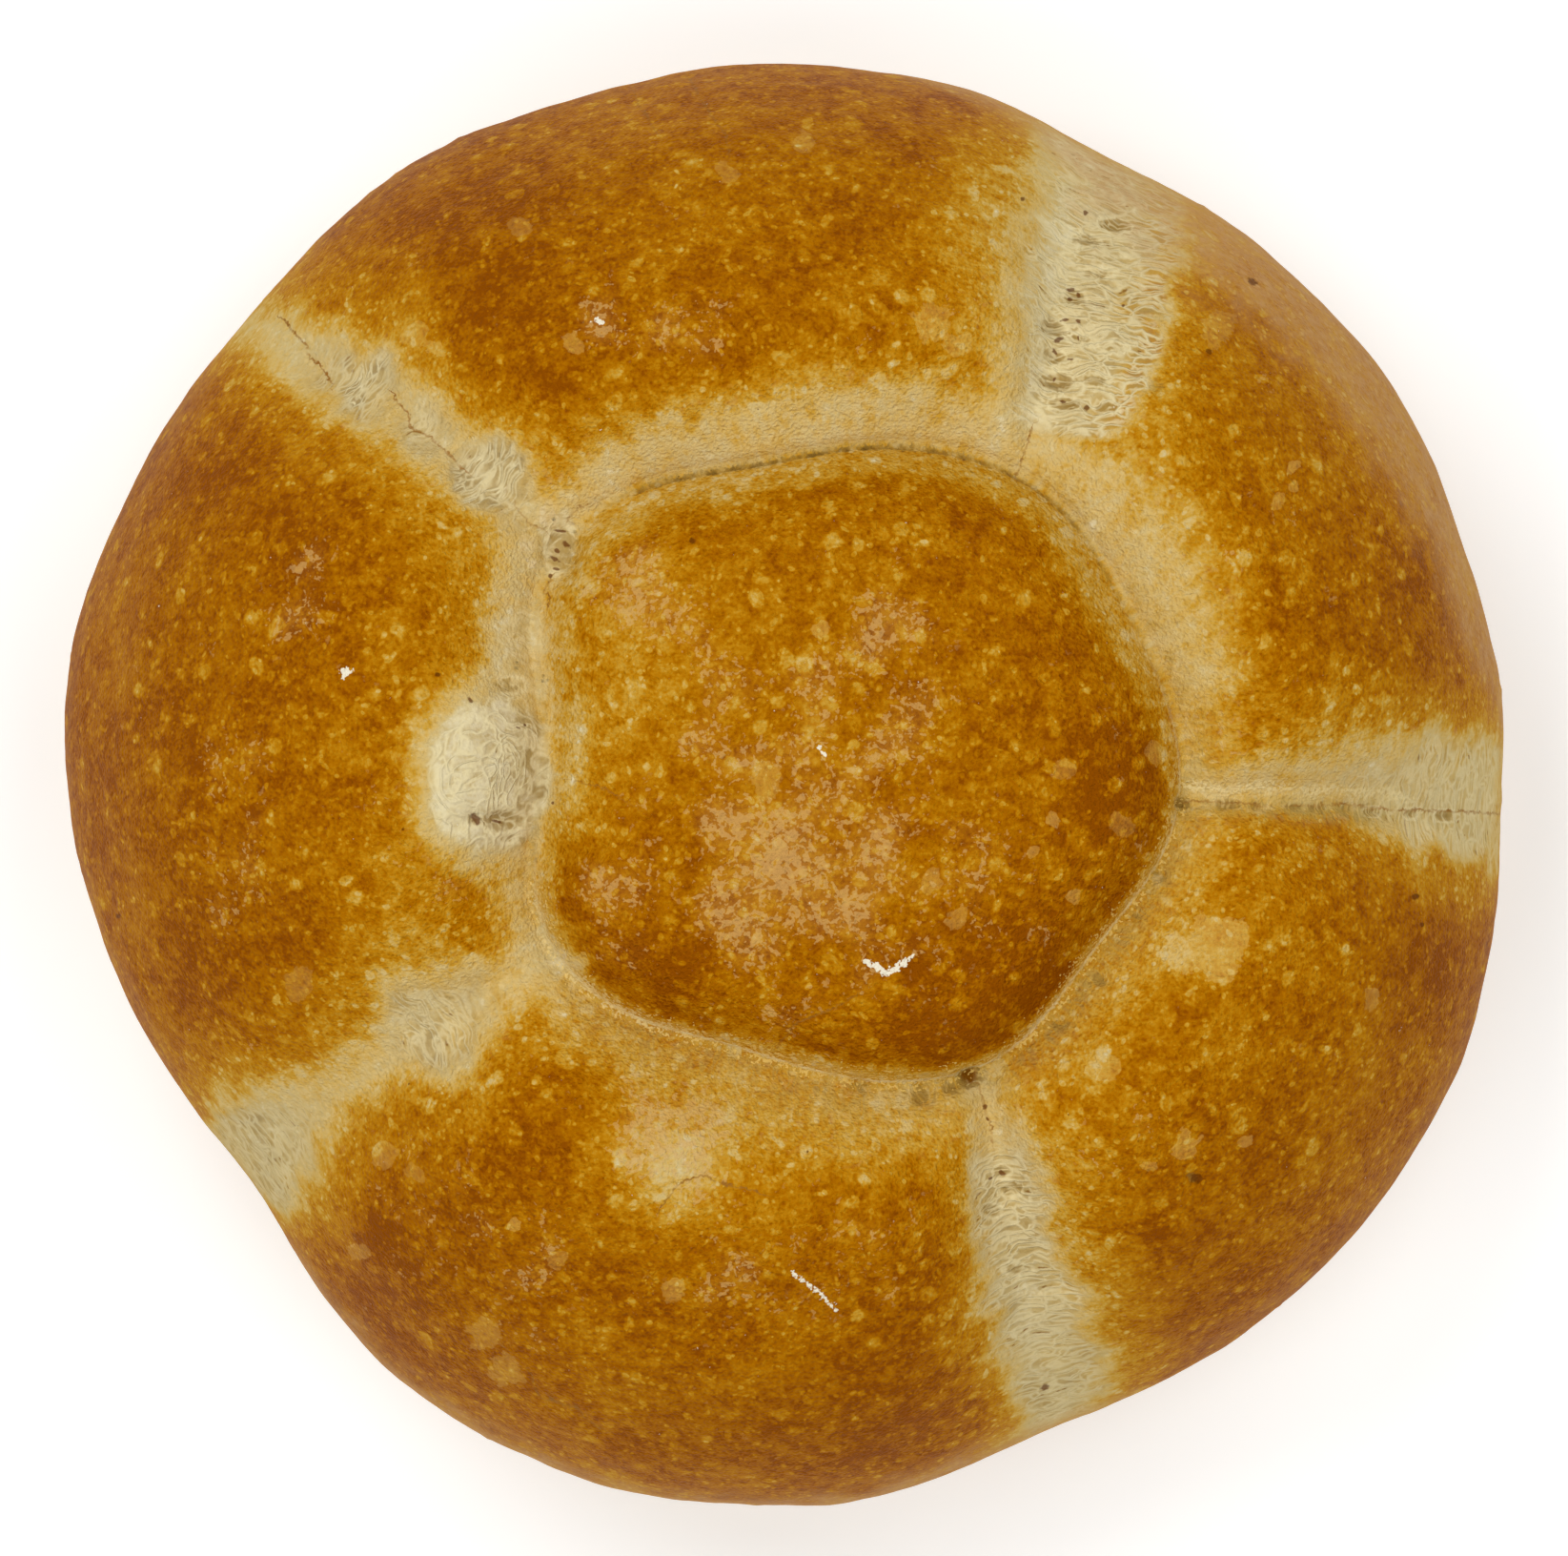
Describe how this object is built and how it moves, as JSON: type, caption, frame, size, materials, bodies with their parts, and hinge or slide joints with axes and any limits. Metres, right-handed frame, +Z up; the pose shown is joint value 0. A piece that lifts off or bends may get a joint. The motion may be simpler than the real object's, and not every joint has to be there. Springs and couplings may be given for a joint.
{
  "type": "bread roll",
  "caption": "Round stamped bread roll: a raised middle button, puffed petals round it and torn pale seams between them, on a flat underside.",
  "frame": {"origin": "on the flat underside, below the middle of the roll's box", "axes": "+Z up out of the stamped top, +X to the right and +Y away from the viewer when the roll is seen from above with its widest petal at the left"},
  "size_m": [0.1098, 0.11, 0.0502],
  "materials": {
    "crust": "satin"
  },
  "bodies": {
    "root": {"bread_roll": "crust"}
  },
  "joints": []
}
